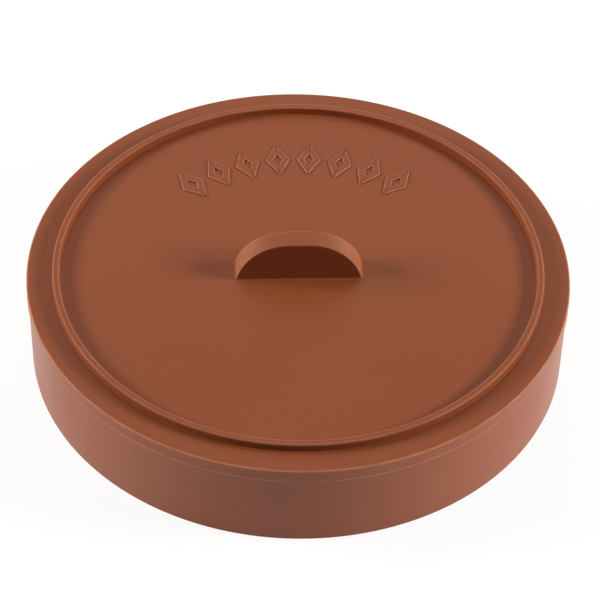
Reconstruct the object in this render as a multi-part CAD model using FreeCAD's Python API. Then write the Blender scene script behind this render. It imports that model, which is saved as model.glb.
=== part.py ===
# Round two-piece tortilla warmer: a shallow dish and the lid that drops over its rim.
# All sizes are millimetres. The origin is the centre of the face that the dish rests on,
# +Z points up, the handle lies along X and the raised ornament is on the +Y side of it.
import FreeCAD, Part
import math
import os

# Overall sizes
lid_diameter = 270.0
closed_height = 48.8           # resting face to the lid's flat top

# Fit of the lid on the dish
rim_clearance = 0.35           # between the lid's skirt and the rim inside it, on the radius
seam_gap = 0.3                 # between the skirt's lower edge and the dish's shoulder
wall_setback = 0.6             # the dish's wall stands this far in from the skirt

# Lid shell
plate_thickness = 2.4
skirt_drop = 7.4               # lid top down to the skirt's lower edge
skirt_wall = 1.5
lid_edge_chamfer = 0.7

# Raised bead round the lid's panel, cored from beneath
bead_diameter = 240.6          # middle of the crest
bead_crest_width = 3.4
bead_height = 4.1
bead_flank_lean = 0.3          # each flank is this much further out at its foot
bead_edge_chamfer = 0.5
bead_wall = 1.3

# Grip handle moulded on the lid
handle_length = 62.6           # at the lid's face
handle_height = 21.1
handle_crown_length = 10.0     # straight stretch along the top
handle_depth = 14.2            # at the lid's face
handle_crown_depth = 10.4
handle_edge_radius = 1.0
handle_foot_radius = 0.8
handle_wall = 2.4              # round the pocket that cores it from beneath

# Raised ornament: a band of open lozenges
ornament_radius = 82.0         # middle of the band
ornament_pitch = 11.3          # degrees from one lozenge to the next
ornament_count = 8
ornament_relief = 0.7
lozenge_height = 23.0
lozenge_width = 12.6
lozenge_stroke = 3.5

# Dish
rim_wall = 1.65
rim_edge_chamfer = 0.4
shoulder_chamfer = 0.4
outside_draft = 0.2            # the wall leans in by this much at the bottom
inside_draft = 0.9
floor_thickness = 2.8
floor_corner_radius = 4.0
bottom_edge_chamfer = 1.2
foot_width = 9.0
foot_depth = 1.2               # the floor's underside is this far above the foot
gate_well_diameter = 9.0
gate_well_depth = 0.6

# Worked out from the sizes above
lid_radius = lid_diameter / 2
skirt_inner_radius = lid_radius - skirt_wall
skirt_bottom = closed_height - skirt_drop
plate_bottom = closed_height - plate_thickness
rim_top = plate_bottom                          # the plate rests on the rim all round
rim_outer_radius = skirt_inner_radius - rim_clearance
rim_inner_radius = rim_outer_radius - rim_wall
shoulder_height = skirt_bottom - seam_gap
wall_top_radius = lid_radius - wall_setback
wall_bottom_radius = wall_top_radius - outside_draft
floor_top = foot_depth + floor_thickness
floor_edge_radius = rim_inner_radius - inside_draft
foot_inner_radius = wall_bottom_radius - bottom_edge_chamfer - foot_width
handle_arc_radius = ((handle_length / 2 - handle_crown_length / 2) ** 2 + handle_height ** 2) / (2 * handle_height)
handle_arc_centre = handle_height - handle_arc_radius

up = FreeCAD.Vector(0, 0, 1)
centre = FreeCAD.Vector(0, 0, 0)


def unit(vector):
    """The vector at length one."""
    return vector * (1.0 / vector.Length)


def sharp(x, z):
    """A plain corner of a section."""
    return FreeCAD.Vector(x, 0, z), None, 0


def chamfered(x, z, size):
    """A corner cut off at the given distance from it along both sides."""
    return FreeCAD.Vector(x, 0, z), "chamfer", size


def rounded(x, z, radius):
    """A corner rounded by a tangent arc."""
    return FreeCAD.Vector(x, 0, z), "round", radius


def corner_edges(before, corner, after, kind, size):
    """The first and last points of a finished corner, and the edge between them."""
    if kind is None:
        return corner, corner, []
    back = unit(before - corner)
    ahead = unit(after - corner)
    half_angle = back.getAngle(ahead) / 2
    reach = size / math.tan(half_angle) if kind == "round" else size
    first = corner + back * reach
    last = corner + ahead * reach
    if kind == "chamfer":
        return first, last, [Part.makeLine(first, last)]
    middle = corner + unit(back + ahead) * (size / math.sin(half_angle) - size)
    return first, last, [Part.Arc(first, middle, last).toShape()]


def section_face(corners):
    """A closed face in the XZ plane through the corners, each finished as it asks."""
    points = [point for point, kind, size in corners]
    finished = []
    for index, (point, kind, size) in enumerate(corners):
        after = points[(index + 1) % len(points)]
        finished.append(corner_edges(points[index - 1], point, after, kind, size))
    edges = []
    for index, (first, last, corner) in enumerate(finished):
        edges += corner
        following = finished[(index + 1) % len(finished)][0]
        edges.append(Part.makeLine(last, following))
    return Part.Face(Part.Wire(edges))


def turned(corners):
    """The round solid that a section sweeps about the Z axis."""
    return section_face(corners).revolve(centre, up, 360)


def handle_outline(inset, foot):
    """The handle's front outline, drawn in by inset and carried down to the height foot."""
    crown = handle_crown_length / 2
    radius = handle_arc_radius - inset
    arc_height = closed_height + handle_arc_centre
    drop = foot - arc_height
    spread = crown + math.sqrt(radius ** 2 - drop ** 2)
    top = arc_height + radius
    foot_angle = math.atan2(drop, spread - crown)
    middle_angle = (foot_angle + math.pi / 2) / 2
    bow_x = crown + radius * math.cos(middle_angle)
    bow_z = arc_height + radius * math.sin(middle_angle)
    right_foot = FreeCAD.Vector(spread, 0, foot)
    left_foot = FreeCAD.Vector(-spread, 0, foot)
    right_crown = FreeCAD.Vector(crown, 0, top)
    left_crown = FreeCAD.Vector(-crown, 0, top)
    right_arc = Part.Arc(right_foot, FreeCAD.Vector(bow_x, 0, bow_z), right_crown).toShape()
    left_arc = Part.Arc(left_crown, FreeCAD.Vector(-bow_x, 0, bow_z), left_foot).toShape()
    crown_line = Part.makeLine(right_crown, left_crown)
    foot_line = Part.makeLine(left_foot, right_foot)
    return Part.Face(Part.Wire([right_arc, crown_line, left_arc, foot_line]))


def handle_wedge(inset):
    """A bar along X whose front and back lean together as the handle's faces do."""
    lean = (handle_depth - handle_crown_depth) / 2 / handle_height
    low = closed_height - plate_thickness
    high = closed_height + handle_height + handle_edge_radius
    half_low = handle_depth / 2 + lean * plate_thickness - inset
    half_high = half_low - lean * (high - low)
    start = -handle_length
    corners = [(-half_low, low), (half_low, low), (half_high, high), (-half_high, high)]
    points = [FreeCAD.Vector(start, y, z) for y, z in corners]
    face = Part.Face(Part.makePolygon(points + points[:1]))
    return face.extrude(FreeCAD.Vector(2 * handle_length, 0, 0))


def handle_block(inset, foot):
    """The handle's solid, or with an inset the pocket inside it."""
    outline = handle_outline(inset, foot)
    outline.translate(FreeCAD.Vector(0, -handle_depth, 0))
    return outline.extrude(FreeCAD.Vector(0, 2 * handle_depth, 0)).common(handle_wedge(inset))


def handle():
    """The grip with its edges rounded, its foot sunk into the lid's plate."""
    foot = closed_height - plate_thickness / 2
    block = handle_block(0, foot)
    outer_edges = [edge for edge in block.Edges if edge.BoundBox.ZMax > foot + plate_thickness]
    return block.makeFillet(handle_edge_radius, outer_edges)


def lozenge(height, width):
    """A flat lozenge centred on the origin, pointing along Y."""
    points = [
        FreeCAD.Vector(0, height / 2, 0),
        FreeCAD.Vector(-width / 2, 0, 0),
        FreeCAD.Vector(0, -height / 2, 0),
        FreeCAD.Vector(width / 2, 0, 0),
    ]
    return Part.Face(Part.makePolygon(points + points[:1]))


def ornament_pad(face, angle):
    """One raised pad: the face stood in the plate at its angle round the band."""
    pad = face.extrude(up * (ornament_relief + plate_thickness / 2))
    pad.translate(FreeCAD.Vector(0, ornament_radius, closed_height - plate_thickness / 2))
    pad.rotate(centre, up, angle)
    return pad


def ornament():
    """The open lozenges on their band."""
    half_side = math.hypot(lozenge_height, lozenge_width) / 2
    inner_reach = lozenge_height * lozenge_width / 4 / half_side
    opening = 1 - lozenge_stroke / inner_reach
    open_face = lozenge(lozenge_height, lozenge_width)
    open_face = open_face.cut(lozenge(lozenge_height * opening, lozenge_width * opening)).Faces[0]
    first_angle = -ornament_pitch * (ornament_count - 1) / 2
    pads = []
    for index in range(ornament_count):
        pads.append(ornament_pad(open_face, first_angle + index * ornament_pitch))
    return pads


def lid_shell():
    """The lid's plate, bead and skirt."""
    bead_top = closed_height + bead_height
    crest_inner = (bead_diameter - bead_crest_width) / 2
    crest_outer = (bead_diameter + bead_crest_width) / 2
    groove_inner = crest_inner - bead_flank_lean + bead_wall
    groove_outer = crest_outer + bead_flank_lean - bead_wall
    groove_top = bead_top - bead_wall
    return turned([
        sharp(0, plate_bottom),
        sharp(groove_inner, plate_bottom),
        sharp(groove_inner, groove_top),
        sharp(groove_outer, groove_top),
        sharp(groove_outer, plate_bottom),
        sharp(skirt_inner_radius, plate_bottom),
        sharp(skirt_inner_radius, skirt_bottom),
        sharp(lid_radius, skirt_bottom),
        chamfered(lid_radius, closed_height, lid_edge_chamfer),
        sharp(crest_outer + bead_flank_lean, closed_height),
        chamfered(crest_outer, bead_top, bead_edge_chamfer),
        chamfered(crest_inner, bead_top, bead_edge_chamfer),
        sharp(crest_inner - bead_flank_lean, closed_height),
        sharp(0, closed_height),
    ])


def handle_foot_edges(shape):
    """The edges where the handle's faces meet the lid's flat top."""
    reach = handle_length / 2 + handle_edge_radius
    found = []
    for edge in shape.Edges:
        box = edge.BoundBox
        level = abs(box.ZMin - closed_height) < 1e-4 and abs(box.ZMax - closed_height) < 1e-4
        if level and max(abs(box.YMin), abs(box.YMax)) < handle_depth and abs(box.XMax) < reach:
            found.append(edge)
    return found


def lid():
    """The lid with its handle and ornament as one moulding, cored under the handle."""
    body = lid_shell().fuse(handle())
    body = body.makeFillet(handle_foot_radius, handle_foot_edges(body))
    body = body.multiFuse(ornament())
    pocket = handle_block(handle_wall, plate_bottom)
    return body.cut(pocket)


def base():
    """The dish: foot ring, floor, wall and the stepped rim that the lid's skirt goes round."""
    shell = turned([
        sharp(0, floor_top),
        sharp(0, foot_depth),
        sharp(foot_inner_radius, foot_depth),
        sharp(foot_inner_radius, 0),
        chamfered(wall_bottom_radius, 0, bottom_edge_chamfer),
        chamfered(wall_top_radius, shoulder_height, shoulder_chamfer),
        sharp(rim_outer_radius, shoulder_height),
        chamfered(rim_outer_radius, rim_top, rim_edge_chamfer),
        chamfered(rim_inner_radius, rim_top, rim_edge_chamfer),
        rounded(floor_edge_radius, floor_top, floor_corner_radius),
    ])
    gate_well = Part.makeCylinder(gate_well_diameter / 2, gate_well_depth, FreeCAD.Vector(0, 0, foot_depth))
    return shell.cut(gate_well)


def main():
    os.makedirs("parts", exist_ok=True)
    for name, shape in (("base", base()), ("lid", lid())):
        solid = shape.removeSplitter().Solids[0]
        print(name, "solids", len(shape.Solids), "valid", solid.isValid(), "volume", round(solid.Volume))
        solid.exportStep("parts/" + name + ".step")


main()
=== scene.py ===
import math

import bmesh
import bpy
from mathutils import Matrix, Vector


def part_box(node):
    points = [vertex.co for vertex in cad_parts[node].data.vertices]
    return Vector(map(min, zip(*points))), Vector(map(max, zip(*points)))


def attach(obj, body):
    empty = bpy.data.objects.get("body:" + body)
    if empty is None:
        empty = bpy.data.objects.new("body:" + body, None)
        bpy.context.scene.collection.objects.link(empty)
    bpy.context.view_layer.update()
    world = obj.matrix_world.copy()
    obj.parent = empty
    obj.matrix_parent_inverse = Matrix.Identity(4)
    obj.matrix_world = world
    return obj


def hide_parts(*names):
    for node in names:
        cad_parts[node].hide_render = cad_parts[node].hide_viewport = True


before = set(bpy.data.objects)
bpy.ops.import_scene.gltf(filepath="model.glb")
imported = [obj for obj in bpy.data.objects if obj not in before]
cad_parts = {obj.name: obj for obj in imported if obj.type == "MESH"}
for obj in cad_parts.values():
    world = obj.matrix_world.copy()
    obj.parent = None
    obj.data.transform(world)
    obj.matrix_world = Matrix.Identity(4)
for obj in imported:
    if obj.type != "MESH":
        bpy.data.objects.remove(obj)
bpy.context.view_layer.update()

mm = 0.001
fullTurn = 2 * math.pi
upAxis = Vector((0, 0, 1))
centrePoint = Vector((0, 0, 0))
weldGap = 0.002 * mm                     # points closer than this become one
levelGap = 0.01 * mm                     # points this near a height lie on it
formMargin = 1.0                         # how far past its outline a form is looked for
creaseAngle = math.radians(44)           # sharper edges keep their crease
wearAndHighlightAngle = math.radians(22)           # outward corners of this angle or more get the full pale edge: a little wear, mostly a painted highlight

lidLow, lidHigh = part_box("lid")
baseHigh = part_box("base")[1]
lidRadius = lidHigh.x / mm
skirtBottom = lidLow.z / mm
rimTop = baseHigh.z / mm                 # the lid's plate rests here
print("frame loaded, lid radius", round(lidRadius, 2))


# Modelling steps that both pieces use

def withSupports(corners, gap):
    # extra points just past each rounding, so that flats keep their shading and edge masks stay narrow
    full = []
    for near, far in zip(corners, corners[1:]):
        full.append(near)
        length = math.hypot(far[0] - near[0], far[1] - near[1])
        stops = [near[2] + gap] if near[2] else []
        if far[2]:
            stops.append(length - far[2] - gap)
        if stops and stops[0] > near[2] and stops[-1] < length and stops == sorted(stops):
            for stop in stops:
                share = stop / length
                across = near[0] + (far[0] - near[0]) * share
                height = near[1] + (far[1] - near[1]) * share
                full.append((across, height, 0))
    return full + corners[-1:]


def drawSection(bm, corners, roundSteps):
    # corners are (distance from the axis, height, rounding), in order along the section
    verts = [bm.verts.new((across * mm, 0, height * mm)) for across, height, rounding in corners]
    for near, far in zip(verts, verts[1:]):
        bm.edges.new((near, far))
    for size in sorted({rounding for across, height, rounding in corners if rounding}):
        picked = [vert for vert, corner in zip(verts, corners) if corner[2] == size]
        bmesh.ops.bevel(bm, geom=picked, offset=size * mm, offset_type="OFFSET", affect="VERTICES",
                        segments=roundSteps, profile=0.5, material=-1)


def turnSection(bm, steps):
    bmesh.ops.spin(bm, geom=bm.verts[:] + bm.edges[:], cent=centrePoint, axis=upAxis, dvec=centrePoint,
                   angle=fullTurn, steps=steps, use_merge=True, use_duplicate=False)


def liesAt(item, height):
    return all(abs(vert.co.z - height * mm) < levelGap for vert in item.verts)


def liesWithin(item, reach):
    return all(vert.co.xy.length < reach * mm for vert in item.verts)


def openEdges(bm, height, reach):
    # free edges that lie flat at one height, no further than reach from the axis
    flat = [edge for edge in bm.edges if liesAt(edge, height) and liesWithin(edge, reach)]
    return [edge for edge in flat if len(edge.link_faces) < 2]


def joinInto(bm, part):
    carrier = bpy.data.meshes.new("carrier")
    part.to_mesh(carrier)
    part.free()
    bm.from_mesh(carrier)
    bpy.data.meshes.remove(carrier)


def finishPiece(bm, name, body, node, material, wearAndHighlightShare=lambda place: 1):
    bmesh.ops.remove_doubles(bm, verts=bm.verts[:], dist=weldGap)
    bmesh.ops.recalc_face_normals(bm, faces=bm.faces[:])
    for face in bm.faces:
        face.smooth = True
    for edge in bm.edges:
        edge.smooth = edge.calc_face_angle(0) < creaseAngle
    corner = bm.verts.layers.float.new("corner")      # one along outward corners, for the pale edges: a little wear, mostly a painted highlight
    for vert in bm.verts:
        turns = [edge.calc_face_angle_signed(0) for edge in vert.link_edges]
        # the share for each form sets where the painted highlight and the wear show
        vert[corner] = max(0, min(1, (max(turns) + min(turns)) / wearAndHighlightAngle)) * wearAndHighlightShare(vert.co)
    mesh = bpy.data.meshes.new(name)
    bm.to_mesh(mesh)
    bm.free()
    piece = bpy.data.objects.new(name, mesh)
    bpy.context.scene.collection.objects.link(piece)
    flatNormals = piece.modifiers.new("flatNormals", "WEIGHTED_NORMAL")
    flatNormals.keep_sharp = True                     # wide flats stay flat beside the rounds
    mesh.materials.append(material)
    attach(piece, body)
    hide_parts(node)
    print(name, "made:", len(mesh.vertices), "points,", len(mesh.polygons), "faces")


# Lid: one moulding with its bead, grip and raised band

lidShape = {
    "skirtWall": 1.5,
    "edgeRound": 0.7,
    "lipRound": 0.6,
    "beadMiddle": 120.3,         # radius of the middle of the crest
    "beadCrest": 3.4,
    "beadHeight": 4.1,
    "beadLean": 0.3,             # each flank is this much wider at its foot
    "beadWall": 1.3,
    "beadRound": 0.8,
    "beadFootRound": 0.15,
    "coreRound": 0.4,            # corners under the lid
    "beadWearAndHighlight": 0.5,            # share of the outer edge's pale wear and painted highlight
    "panelRadius": 112.0,        # where the turned part meets the flat panel
    "supportGap": 0.15,
    "turnSteps": 256,
    "roundSteps": 4,
}

gripShape = {
    "length": 62.6,              # at the lid's face
    "height": 21.1,
    "crown": 10.0,               # straight stretch along the top
    "depth": 14.2,
    "crownDepth": 10.4,
    "edgeRound": 0.6,
    "footRound": 0.9,
    # shares of the grip's pale edges, mostly a painted highlight: faint on the front edge, strong on the
    # back edge
    "frontWearAndHighlight": 0.1,
    "backWearAndHighlight": 0.8,
    "shoulderWearAndHighlight": 5.5,        # the whole of the curved ends get pale edges: finger wear and a painted highlight
    "wall": 2.4,                 # round the pocket beneath
    "supportGap": 0.15,
    "arcSteps": 30,
    "roundSteps": 4,
}

bandShape = {
    "radius": 82.0,              # middle of the raised band
    "pitch": 11.3,               # degrees between open lozenges
    "count": 8,
    "relief": 0.7,
    "height": 23.0,
    "width": 12.6,
    "stroke": 3.5,
    "cornerRound": 0.7,
    "edgeRound": 0.3,
    # share of the pads' pale edges: a little wear, mostly a painted highlight
    "wearAndHighlightShare": 1.3,
    "supportGap": 0.1,
    "roundSteps": 3,
}

flatTop = lidHigh.z / mm - gripShape["height"]


def lidSection():
    s = lidShape
    crestIn = s["beadMiddle"] - s["beadCrest"] / 2
    crestOut = s["beadMiddle"] + s["beadCrest"] / 2
    crestTop = flatTop + s["beadHeight"]
    grooveIn = crestIn - s["beadLean"] + s["beadWall"]
    grooveOut = crestOut + s["beadLean"] - s["beadWall"]
    grooveTop = crestTop - s["beadWall"]
    skirtIn = lidRadius - s["skirtWall"]
    return [
        (s["panelRadius"], flatTop, 0),
        (crestIn - s["beadLean"], flatTop, s["beadFootRound"]),
        (crestIn, crestTop, s["beadRound"]),
        (crestOut, crestTop, s["beadRound"]),
        (crestOut + s["beadLean"], flatTop, s["beadFootRound"]),
        (lidRadius, flatTop, s["edgeRound"]),
        (lidRadius, skirtBottom, s["lipRound"]),
        (skirtIn, skirtBottom, s["lipRound"]),
        (skirtIn, rimTop, s["coreRound"]),
        (grooveOut, rimTop, 0),
        (grooveOut, grooveTop, s["coreRound"]),
        (grooveIn, grooveTop, s["coreRound"]),
        (grooveIn, rimTop, 0),
        (s["panelRadius"], rimTop, 0),
    ]


def gripBlock(inset, foot, edgeRound):
    # the D-shaped block, or with an inset the pocket under it, open at its foot
    g = gripShape
    halfCrown = g["crown"] / 2
    fullRadius = ((g["length"] / 2 - halfCrown) ** 2 + g["height"] ** 2) / (2 * g["height"])
    arcHeight = flatTop + g["height"] - fullRadius
    radius = fullRadius - inset
    sweep = math.acos((foot - arcHeight) / radius)
    bm = bmesh.new()
    crownEnd = bm.verts.new((halfCrown * mm, 0, (arcHeight + radius) * mm))
    bmesh.ops.spin(bm, geom=[crownEnd], cent=(halfCrown * mm, 0, arcHeight * mm), axis=(0, 1, 0),
                   dvec=centrePoint, angle=sweep, steps=g["arcSteps"], use_merge=False, use_duplicate=False)
    bmesh.ops.mirror(bm, geom=bm.verts[:] + bm.edges[:], axis="X", merge_dist=0)
    for height in (arcHeight + radius, foot):
        ends = [vert for vert in bm.verts if abs(vert.co.z - height * mm) < levelGap]
        bm.edges.new(ends)
    outline = bmesh.ops.contextual_create(bm, geom=bm.edges[:])["faces"]
    deep = bmesh.ops.extrude_face_region(bm, geom=outline)["geom"]
    backVerts = [item for item in deep if isinstance(item, bmesh.types.BMVert)]
    frontVerts = [vert for vert in bm.verts if vert not in backVerts]
    lean = (g["depth"] - g["crownDepth"]) / 2 / g["height"]
    for side, verts in ((-1, frontVerts), (1, backVerts)):
        for vert in verts:
            rise = vert.co.z / mm - flatTop
            vert.co.y = side * (g["depth"] / 2 - inset - lean * rise) * mm
    soles = [face for face in bm.faces if liesAt(face, foot)]
    bmesh.ops.delete(bm, geom=soles, context="FACES_ONLY")
    if edgeRound:
        rims = []
        for edge in bm.edges:
            near, far = edge.verts
            oneSide = near.co.y * far.co.y > 0
            if oneSide and not liesAt(edge, foot):
                rims.append(edge)
        rounds = bmesh.ops.bevel(bm, geom=rims, offset=edgeRound * mm, offset_type="OFFSET", affect="EDGES",
                                 segments=g["roundSteps"], profile=0.5, material=-1)["faces"]
        flats = [face for face in bm.faces if face not in set(rounds)]
        bmesh.ops.inset_region(bm, faces=flats, thickness=g["supportGap"] * mm, depth=0,
                               use_boundary=False, use_even_offset=True)
    return bm


def lozengeLoop(height, width, angle):
    # a closed outline on the lid's face, turned to its place on the band
    b = bandShape
    bm = bmesh.new()
    corners = bmesh.ops.create_circle(bm, cap_ends=False, segments=4, radius=1.0)["verts"]
    bmesh.ops.scale(bm, vec=(width / 2 * mm, height / 2 * mm, 1), verts=corners)
    cornerRound = b["cornerRound"] * mm * min(1, width / b["width"])
    bmesh.ops.bevel(bm, geom=corners, offset=cornerRound, offset_type="OFFSET", affect="VERTICES",
                    segments=b["roundSteps"], profile=0.5, material=-1)
    turn = Matrix.Rotation(math.radians(angle), 4, "Z")
    place = turn @ Matrix.Translation((0, b["radius"] * mm, flatTop * mm))
    bmesh.ops.transform(bm, matrix=place, verts=bm.verts[:])
    return bm


def raisePads(bm, padEdges):
    # the pads' outlines grow upwards, get tops, and lose their sharp edges
    b = bandShape
    walls = bmesh.ops.extrude_edge_only(bm, edges=padEdges)["geom"]
    topVerts = [item for item in walls if isinstance(item, bmesh.types.BMVert)]
    topEdges = [item for item in walls if isinstance(item, bmesh.types.BMEdge)]
    topEdges = [edge for edge in topEdges if all(vert in topVerts for vert in edge.verts)]
    bmesh.ops.translate(bm, vec=(0, 0, b["relief"] * mm), verts=topVerts)
    bmesh.ops.triangle_fill(bm, use_beauty=True, use_dissolve=False, edges=topEdges, normal=upAxis)
    bmesh.ops.bevel(bm, geom=topEdges, offset=b["edgeRound"] * mm, offset_type="OFFSET", affect="EDGES",
                    segments=b["roundSteps"], profile=0.5, material=-1)
    padTop = flatTop + b["relief"]
    bandEdge = b["radius"] + b["height"]
    topFaces = [face for face in bm.faces if liesAt(face, padTop) and liesWithin(face, bandEdge)]
    bmesh.ops.inset_region(bm, faces=topFaces, thickness=b["supportGap"] * mm, depth=0, use_boundary=True,
                           use_even_offset=True)


def lidWearAndHighlightShare(place):
    # how much of the outer edge's pale wear and painted highlight each form on the lid gets
    g = gripShape
    reach = place.xy.length / mm
    if reach < g["length"] / 2 + formMargin:
        rise = place.z / mm - flatTop
        halfDepth = g["depth"] / 2 - (g["depth"] - g["crownDepth"]) / 2 * rise / g["height"]
        if abs(place.y) / mm < halfDepth - g["edgeRound"]:
            return g["shoulderWearAndHighlight"] * (2 * place.x / mm / g["length"]) ** 2
        return g["frontWearAndHighlight"] if place.y < 0 else g["backWearAndHighlight"]
    if reach < lidShape["panelRadius"]:
        return bandShape["wearAndHighlightShare"]
    if abs(reach - lidShape["beadMiddle"]) < lidShape["beadCrest"]:
        return lidShape["beadWearAndHighlight"]
    return 1


def makeLid(material):
    b = bandShape
    bm = bmesh.new()
    drawSection(bm, withSupports(lidSection(), lidShape["supportGap"]), lidShape["roundSteps"])
    turnSection(bm, lidShape["turnSteps"])
    joinInto(bm, gripBlock(0, flatTop, gripShape["edgeRound"]))
    halfSide = math.hypot(b["height"], b["width"]) / 2
    sideReach = b["height"] * b["width"] / 4 / halfSide         # from a lozenge's middle to its side
    opening = 1 - b["stroke"] / sideReach
    firstAngle = -b["pitch"] * (b["count"] - 1) / 2
    for index in range(b["count"]):
        angle = firstAngle + index * b["pitch"]
        joinInto(bm, lozengeLoop(b["height"], b["width"], angle))
        joinInto(bm, lozengeLoop(b["height"] * opening, b["width"] * opening, angle))
    padEdges = [edge for edge in bm.edges if edge.is_wire]
    gripFoot = [edge for edge in openEdges(bm, flatTop, gripShape["length"]) if not edge.is_wire]
    panelEdges = openEdges(bm, flatTop, lidShape["panelRadius"] + formMargin)
    bmesh.ops.triangle_fill(bm, use_beauty=True, use_dissolve=False, edges=panelEdges, normal=upAxis)
    bmesh.ops.bevel(bm, geom=gripFoot, offset=gripShape["footRound"] * mm, offset_type="OFFSET",
                    affect="EDGES", segments=gripShape["roundSteps"], profile=0.5, material=-1,
                    clamp_overlap=False)
    raisePads(bm, padEdges)
    joinInto(bm, gripBlock(gripShape["wall"], rimTop, 0))
    underEdges = openEdges(bm, rimTop, lidShape["panelRadius"] + formMargin)
    bmesh.ops.triangle_fill(bm, use_beauty=True, use_dissolve=False, edges=underEdges, normal=-upAxis)
    finishPiece(bm, "lidMoulding", "lid", "lid", material, lidWearAndHighlightShare)


# Base: the dish with its stepped rim, foot ring and gate well

baseShape = {
    "rimClearance": 0.35,
    "rimWall": 1.65,
    "rimRound": 0.4,
    "seamGap": 0.3,
    "wallSetback": 0.6,
    "outsideDraft": 0.2,
    "insideDraft": 0.9,
    "shoulderRound": 0.4,
    "bottomRound": 0.6,
    "footWidth": 10.2,
    "footDepth": 1.2,
    "footRound": 0.4,
    "floorThickness": 2.8,
    "floorRound": 4.0,
    "wellRadius": 4.5,
    "wellDepth": 0.6,
    "wellRound": 0.2,
    "nibRadius": 1.2,            # where the sprue was cut off
    "nibHeight": 0.25,
    "capRadius": 30.0,           # the middle of the floor is one flat face
    "supportGap": 0.15,
    "turnSteps": 256,
    "roundSteps": 4,
}


def baseSection():
    s = baseShape
    rimOut = lidRadius - lidShape["skirtWall"] - s["rimClearance"]
    rimIn = rimOut - s["rimWall"]
    shoulder = skirtBottom - s["seamGap"]
    wallTop = lidRadius - s["wallSetback"]
    wallFoot = wallTop - s["outsideDraft"]
    footIn = wallFoot - s["footWidth"]
    floorTop = s["footDepth"] + s["floorThickness"]
    wellTop = s["footDepth"] + s["wellDepth"]
    return [
        (s["capRadius"], floorTop, 0),
        (rimIn - s["insideDraft"], floorTop, s["floorRound"]),
        (rimIn, rimTop, s["rimRound"]),
        (rimOut, rimTop, s["rimRound"]),
        (rimOut, shoulder, 0),
        (wallTop, shoulder, s["shoulderRound"]),
        (wallFoot, 0, s["bottomRound"]),
        (footIn, 0, s["footRound"]),
        (footIn, s["footDepth"], s["footRound"]),
        (s["wellRadius"], s["footDepth"], s["wellRound"]),
        (s["wellRadius"], wellTop, 0),
        (s["nibRadius"], wellTop, 0),
        (s["nibRadius"], wellTop - s["nibHeight"], 0),
    ]


def makeBase(material):
    bm = bmesh.new()
    drawSection(bm, withSupports(baseSection(), baseShape["supportGap"]), baseShape["roundSteps"])
    turnSection(bm, baseShape["turnSteps"])
    rings = [edge for edge in bm.edges if len(edge.link_faces) == 1]
    bmesh.ops.holes_fill(bm, edges=rings, sides=0)
    finishPiece(bm, "baseDish", "base", "base", material)


# Shader groups: colours are linear, the grain's depth is in metres

plasticLook = {
    "tone": (0.272, 0.0705, 0.0250, 1),
    "deep": (0.258, 0.0650, 0.0225, 1),
    "pale": (0.302, 0.0830, 0.0320, 1),
    # the next tone is painted along outward corners: a little wear, mostly a painted highlight
    "wearAndHighlightTone": (0.580, 0.2300, 0.1250, 1),
    "drift": 0.6,
    "speckle": 0.22,
    # how strongly and how patchily the pale corners show, wear and painted highlight together
    "wearAndHighlight": 0.85,
    "leastWearAndHighlight": 0.6,
    "grainScale": 1500.0,
    "grainBump": 0.05,
    "grainDepth": 0.00012,
    "glossLow": 0.34,
    "glossHigh": 0.40,
    "ior": 1.49,
    "specular": 0.27,
    "lidOffset": (0.31, 0.12, 0.05),
    "baseOffset": (-0.22, 0.40, 0.17),
}

plasticPatterns = {
    # scale, detail and roughness of the noise, then where in it the effect starts and where it is full
    "drift": (9.0, 2.0, 0.45, 0.35, 0.7),
    "speckle": (420.0, 3.0, 0.6, 0.5, 0.8),
    "gloss": (22.0, 3.0, 0.5, 0.3, 0.7),
    # patches in the pale corners' wear and painted highlight
    "wearAndHighlight": (60.0, 3.0, 0.6, 0.35, 0.65),
}
grainDetail = 2.0
grainRoughness = 0.55


def startGroup(name, inputs, outputs, outputKind):
    group = bpy.data.node_groups.new(name, "ShaderNodeTree")
    for label, kind, value in inputs:
        socket = group.interface.new_socket(name=label, in_out="INPUT", socket_type=kind)
        if value is not None:
            socket.default_value = value
    for label in outputs:
        group.interface.new_socket(name=label, in_out="OUTPUT", socket_type=outputKind)
    return group, group.nodes.new("NodeGroupInput").outputs, group.nodes.new("NodeGroupOutput").inputs


def feed(tree, socket, source):
    # the source is a socket of another node or a plain value
    if isinstance(source, bpy.types.NodeSocket):
        tree.links.new(source, socket)
    else:
        socket.default_value = source


def noiseValue(tree, place, scale, detail, roughness):
    node = tree.nodes.new("ShaderNodeTexNoise")
    feed(tree, node.inputs["Vector"], place)
    feed(tree, node.inputs["Scale"], scale)
    feed(tree, node.inputs["Detail"], detail)
    feed(tree, node.inputs["Roughness"], roughness)
    return node.outputs["Fac"]


def rangeValue(tree, value, low, high, outLow, outHigh):
    node = tree.nodes.new("ShaderNodeMapRange")
    feed(tree, node.inputs["Value"], value)
    feed(tree, node.inputs["From Min"], low)
    feed(tree, node.inputs["From Max"], high)
    feed(tree, node.inputs["To Min"], outLow)
    feed(tree, node.inputs["To Max"], outHigh)
    return node.outputs["Result"]


def mathValue(tree, operation, *sources):
    node = tree.nodes.new("ShaderNodeMath")
    node.operation = operation
    for socket, source in zip(node.inputs, sources):
        feed(tree, socket, source)
    return node.outputs["Value"]


def mixedColour(tree, share, first, second):
    # this node's colours go in at 6 and 7 and come out at 2
    node = tree.nodes.new("ShaderNodeMix")
    node.data_type = "RGBA"
    feed(tree, node.inputs[0], share)
    feed(tree, node.inputs[6], first)
    feed(tree, node.inputs[7], second)
    return node.outputs[2]


def patternValue(tree, place, name, outLow, outHigh):
    scale, detail, roughness, low, high = plasticPatterns[name]
    noise = noiseValue(tree, place, scale, detail, roughness)
    return rangeValue(tree, noise, low, high, outLow, outHigh)


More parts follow.
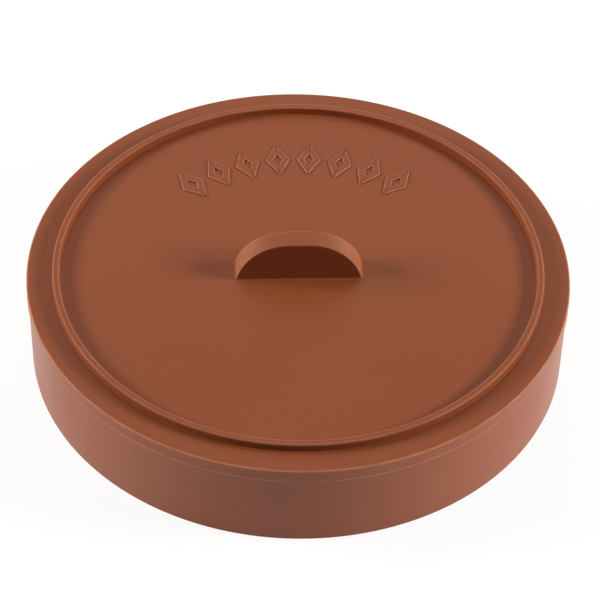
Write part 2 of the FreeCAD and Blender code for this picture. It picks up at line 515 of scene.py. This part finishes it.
def flowToneGroup():
    # slow drifts of tone that molten plastic leaves as it fills the mould, and fine pale specks
    group, given, result = startGroup("flowTone", [
        ("Vector", "NodeSocketVector", None),
        ("Tone", "NodeSocketColor", None),
        ("Deep", "NodeSocketColor", None),
        ("Pale", "NodeSocketColor", None),
        ("Drift", "NodeSocketFloat", 0.5),
        ("Speckle", "NodeSocketFloat", 0.3),
    ], ["Color"], "NodeSocketColor")
    slow = patternValue(group, given["Vector"], "drift", 0.0, 1.0)
    drift = mathValue(group, "MULTIPLY", slow, given["Drift"])
    drifted = mixedColour(group, drift, given["Tone"], given["Deep"])
    fine = patternValue(group, given["Vector"], "speckle", 0.0, 1.0)
    speckle = mathValue(group, "MULTIPLY", fine, given["Speckle"])
    feed(group, result["Color"], mixedColour(group, speckle, drifted, given["Pale"]))
    return group


def satinGrainGroup():
    # fine spark-eroded grain of the mould, with slow changes of gloss across the face
    group, given, result = startGroup("satinGrain", [
        ("Vector", "NodeSocketVector", None),
        ("Grain Scale", "NodeSocketFloat", 1400.0),
        ("Low", "NodeSocketFloat", 0.3),
        ("High", "NodeSocketFloat", 0.4),
    ], ["Roughness", "Height"], "NodeSocketFloat")
    gloss = patternValue(group, given["Vector"], "gloss", given["Low"], given["High"])
    grain = noiseValue(group, given["Vector"], given["Grain Scale"], grainDetail, grainRoughness)
    feed(group, result["Roughness"], gloss)
    feed(group, result["Height"], grain)
    return group


def edgeWearAndHighlightGroup():
    # corners painted paler: a little polish from hands and shelves, mostly a painted highlight along the
    # edges
    group, given, result = startGroup("edgeWearAndHighlight", [
        ("Vector", "NodeSocketVector", None),
        ("Corner", "NodeSocketFloat", 0.0),
        ("Color", "NodeSocketColor", None),
        ("Wear And Highlight", "NodeSocketColor", None),
        ("Amount", "NodeSocketFloat", 0.3),
    ], ["Color"], "NodeSocketColor")
    patches = patternValue(group, given["Vector"], "wearAndHighlight", plasticLook["leastWearAndHighlight"], 1.0)
    wornAndLit = mathValue(group, "MULTIPLY", given["Corner"], patches)
    amount = mathValue(group, "MULTIPLY", wornAndLit, given["Amount"])
    feed(group, result["Color"], mixedColour(group, amount, given["Color"], given["Wear And Highlight"]))
    return group


# Materials

def satinPlastic(name, groups, offset):
    p = plasticLook
    material = bpy.data.materials.new(name)
    material.use_nodes = True
    nodes, link = material.node_tree.nodes, material.node_tree.links.new
    shader = nodes["Principled BSDF"]
    place = nodes.new("ShaderNodeTexCoord")
    shift = nodes.new("ShaderNodeMapping")
    shift.inputs["Location"].default_value = offset
    link(place.outputs["Object"], shift.inputs["Vector"])
    flow, grain, wearAndHighlight = [nodes.new("ShaderNodeGroup") for _ in groups]
    flow.node_tree, grain.node_tree, wearAndHighlight.node_tree = groups
    for node in (flow, grain, wearAndHighlight):
        link(shift.outputs["Vector"], node.inputs["Vector"])
    for label in ("Tone", "Deep", "Pale", "Drift", "Speckle"):
        flow.inputs[label].default_value = p[label.lower()]
    for label, key in (("Grain Scale", "grainScale"), ("Low", "glossLow"), ("High", "glossHigh")):
        grain.inputs[label].default_value = p[key]
    # the corner mask paints the edges paler: a little wear, mostly a painted highlight
    corner = nodes.new("ShaderNodeAttribute")
    corner.attribute_name = "corner"
    link(corner.outputs["Fac"], wearAndHighlight.inputs["Corner"])
    wearAndHighlight.inputs["Wear And Highlight"].default_value = p["wearAndHighlightTone"]
    wearAndHighlight.inputs["Amount"].default_value = p["wearAndHighlight"]
    link(flow.outputs["Color"], wearAndHighlight.inputs["Color"])
    link(wearAndHighlight.outputs["Color"], shader.inputs["Base Color"])
    link(grain.outputs["Roughness"], shader.inputs["Roughness"])
    bump = nodes.new("ShaderNodeBump")
    bump.inputs["Strength"].default_value = p["grainBump"]
    bump.inputs["Distance"].default_value = p["grainDepth"]
    link(grain.outputs["Height"], bump.inputs["Height"])
    link(bump.outputs["Normal"], shader.inputs["Normal"])
    shader.inputs["IOR"].default_value = p["ior"]
    shader.inputs["Specular IOR Level"].default_value = p["specular"]
    return material


plasticGroups = (flowToneGroup(), satinGrainGroup(), edgeWearAndHighlightGroup())
lidPlastic = satinPlastic("lidPlastic", plasticGroups, plasticLook["lidOffset"])
basePlastic = satinPlastic("basePlastic", plasticGroups, plasticLook["baseOffset"])
print("materials ready")

makeLid(lidPlastic)
makeBase(basePlastic)


# Studio: white floor and surroundings, two low soft lamps at the sides, weaker ones overhead and behind

studio = {
    "floorSize": 12.0,                    # metres, like the other studio sizes
    "floorHeight": -0.0001,               # just clear of the foot ring
    "tableFade": (0.34, 0.60),
    "floorTone": (0.80, 0.80, 0.80, 1),
    "farTone": (0.02, 0.02, 0.02, 1),
    "floorShade": (0.16, 0.16, 0.16, 1),  # share of real light and shadow that the camera sees
    "floorGlow": 0.88,
    "floorBounce": (0.225, 0.71),         # soft light from the white table, in its middle and at its sides
    "bounceMiddle": -0.04,
    "bounceReach": 0.25,
    "fillFront": 0.004,                   # light of the surroundings, camera side and far side
    "fillBack": 0.12,
    "fillReach": 0.7,
}

lamps = {
    # place, width and height in metres, watts
    "leftLamp": ((-2.10, 0.19, 0.92), (1.10, 0.60), 50.0),
    "rightLamp": ((2.07, -0.22, 0.94), (0.90, 0.50), 53.0),
    "topLamp": ((-0.12, 0.56, 1.25), (0.70, 0.30), 1.8),
    "backLamp": ((0.15, 1.80, 1.10), (1.60, 0.60), 6.0),
}


def seenDirectly(tree):
    # one where the camera, a gloss or a clear piece looks at the surface
    path = tree.nodes.new("ShaderNodeLightPath")
    seen = mathValue(tree, "MAXIMUM", path.outputs["Is Camera Ray"], path.outputs["Is Glossy Ray"])
    return mathValue(tree, "MAXIMUM", seen, path.outputs["Is Transmission Ray"])


def glowingPaper(tree, tone, strength):
    paper = tree.nodes.new("ShaderNodeBsdfDiffuse")
    paper.inputs["Color"].default_value = tone
    glow = tree.nodes.new("ShaderNodeEmission")
    feed(tree, glow.inputs["Strength"], strength)
    both = tree.nodes.new("ShaderNodeAddShader")
    feed(tree, both.inputs[0], paper.outputs[0])
    feed(tree, both.inputs[1], glow.outputs[0])
    return both.outputs[0]


def eitherShader(tree, choice, first, second):
    node = tree.nodes.new("ShaderNodeMixShader")
    for socket, source in zip(node.inputs, (choice, first, second)):
        feed(tree, socket, source)
    return node.outputs[0]


def floorPaper():
    s = studio
    material = bpy.data.materials.new("floorPaper")
    material.use_nodes = True
    tree = material.node_tree
    tree.nodes.remove(tree.nodes["Principled BSDF"])
    seen = seenDirectly(tree)
    place = tree.nodes.new("ShaderNodeTexCoord").outputs["Object"]

    # the table lights the object more from its two sides; the camera sees it white with a pale shadow
    parts = tree.nodes.new("ShaderNodeSeparateXYZ")
    feed(tree, parts.inputs["Vector"], place)
    aside = mathValue(tree, "SUBTRACT", parts.outputs["X"], s["bounceMiddle"])
    apart = mathValue(tree, "ABSOLUTE", aside)
    bounce = rangeValue(tree, apart, 0.0, s["bounceReach"], *s["floorBounce"])
    unseen = glowingPaper(tree, s["floorTone"], bounce)
    shown = glowingPaper(tree, s["floorShade"], s["floorGlow"])
    table = eitherShader(tree, seen, unseen, shown)

    # beyond the table it is plain white where it is seen and gives no light
    far = glowingPaper(tree, s["farTone"], seen)
    reach = tree.nodes.new("ShaderNodeVectorMath")
    reach.operation = "LENGTH"
    feed(tree, reach.inputs[0], place)
    near = rangeValue(tree, reach.outputs["Value"], *s["tableFade"], 1.0, 0.0)
    top = eitherShader(tree, near, far, table)

    # clear from beneath, so that the foot can be looked at
    side = tree.nodes.new("ShaderNodeNewGeometry").outputs["Backfacing"]
    clear = tree.nodes.new("ShaderNodeBsdfTransparent").outputs[0]
    feed(tree, tree.nodes["Material Output"].inputs["Surface"], eitherShader(tree, side, top, clear))
    return material


def paleFloor():
    bm = bmesh.new()
    bmesh.ops.create_grid(bm, x_segments=1, y_segments=1, size=studio["floorSize"] / 2)
    bmesh.ops.translate(bm, vec=(0, 0, studio["floorHeight"]), verts=bm.verts[:])
    mesh = bpy.data.meshes.new("studioFloor")
    bm.to_mesh(mesh)
    bm.free()
    mesh.materials.append(floorPaper())
    floor = bpy.data.objects.new("studioFloor", mesh)
    bpy.context.scene.collection.objects.link(floor)


def paleWorld():
    # white where it is seen; as a source of light it is dim on the camera side and brighter behind
    s = studio
    world = bpy.data.worlds.new("paleRoom")
    bpy.context.scene.world = world
    world.use_nodes = True
    tree = world.node_tree
    sky = tree.nodes["Background"]
    sky.inputs["Color"].default_value = (1, 1, 1, 1)
    parts = tree.nodes.new("ShaderNodeSeparateXYZ")
    feed(tree, parts.inputs["Vector"], tree.nodes.new("ShaderNodeTexCoord").outputs["Generated"])
    fill = rangeValue(tree, parts.outputs["Y"], 0.0, s["fillReach"], s["fillFront"], s["fillBack"])
    level = rangeValue(tree, seenDirectly(tree), 0.0, 1.0, fill, 1.0)
    feed(tree, sky.inputs["Strength"], level)


def softLamp(name, place, size, power):
    data = bpy.data.lights.new(name, "AREA")
    data.shape = "RECTANGLE"
    data.size, data.size_y = size
    data.energy = power
    lamp = bpy.data.objects.new(name, data)
    lamp.location = place
    aim = Vector((0, 0, flatTop * mm)) - Vector(place)
    lamp.rotation_euler = aim.to_track_quat("-Z", "Y").to_euler()
    lamp.visible_camera = False
    lamp.visible_glossy = False       # low lamps would glare off the lid in views from the far side
    bpy.context.scene.collection.objects.link(lamp)


paleFloor()
paleWorld()
for lampName, (lampPlace, lampSize, lampPower) in lamps.items():
    softLamp(lampName, lampPlace, lampSize, lampPower)
print("studio ready")


# Camera, matched to the photograph

shot = {
    "distance": 10.0,            # in lid radii
    "elevation": 43.89,
    "roll": 1.35,
    "yaw": -2.8,                 # the grip's own turn in the photograph
    "aimAcross": 0.008,          # in lid radii, from the middle of the lid's flat top
    "aimAlong": -0.1611,
    "lens": 162.8,
    "sensor": 36.0,
}


def placeCamera():
    c = shot
    scale = lidRadius * mm
    tilt = math.radians(c["elevation"])
    middle = Vector((0, 0, flatTop * mm))
    yaw = Matrix.Rotation(math.radians(c["yaw"]), 3, "Z")
    eye = middle + yaw @ Vector((0, -math.cos(tilt), math.sin(tilt))) * c["distance"] * scale
    aim = middle + yaw @ Vector((c["aimAcross"], c["aimAlong"], 0)) * scale
    ahead = (aim - eye).normalized()
    right = ahead.cross(upAxis).normalized()
    over = right.cross(ahead)
    roll = math.radians(c["roll"])
    rolledRight = right * math.cos(roll) + over * math.sin(roll)
    rolledUp = over * math.cos(roll) - right * math.sin(roll)
    data = bpy.data.cameras.new("shotCamera")
    data.lens = c["lens"]
    data.sensor_width = c["sensor"]
    camera = bpy.data.objects.new("shotCamera", data)
    facing = Matrix((rolledRight, rolledUp, -ahead)).transposed()
    camera.matrix_world = Matrix.Translation(eye) @ facing.to_4x4()
    bpy.context.scene.collection.objects.link(camera)
    bpy.context.scene.camera = camera


placeCamera()
bpy.context.scene.view_settings.view_transform = "Standard"
print("camera placed")
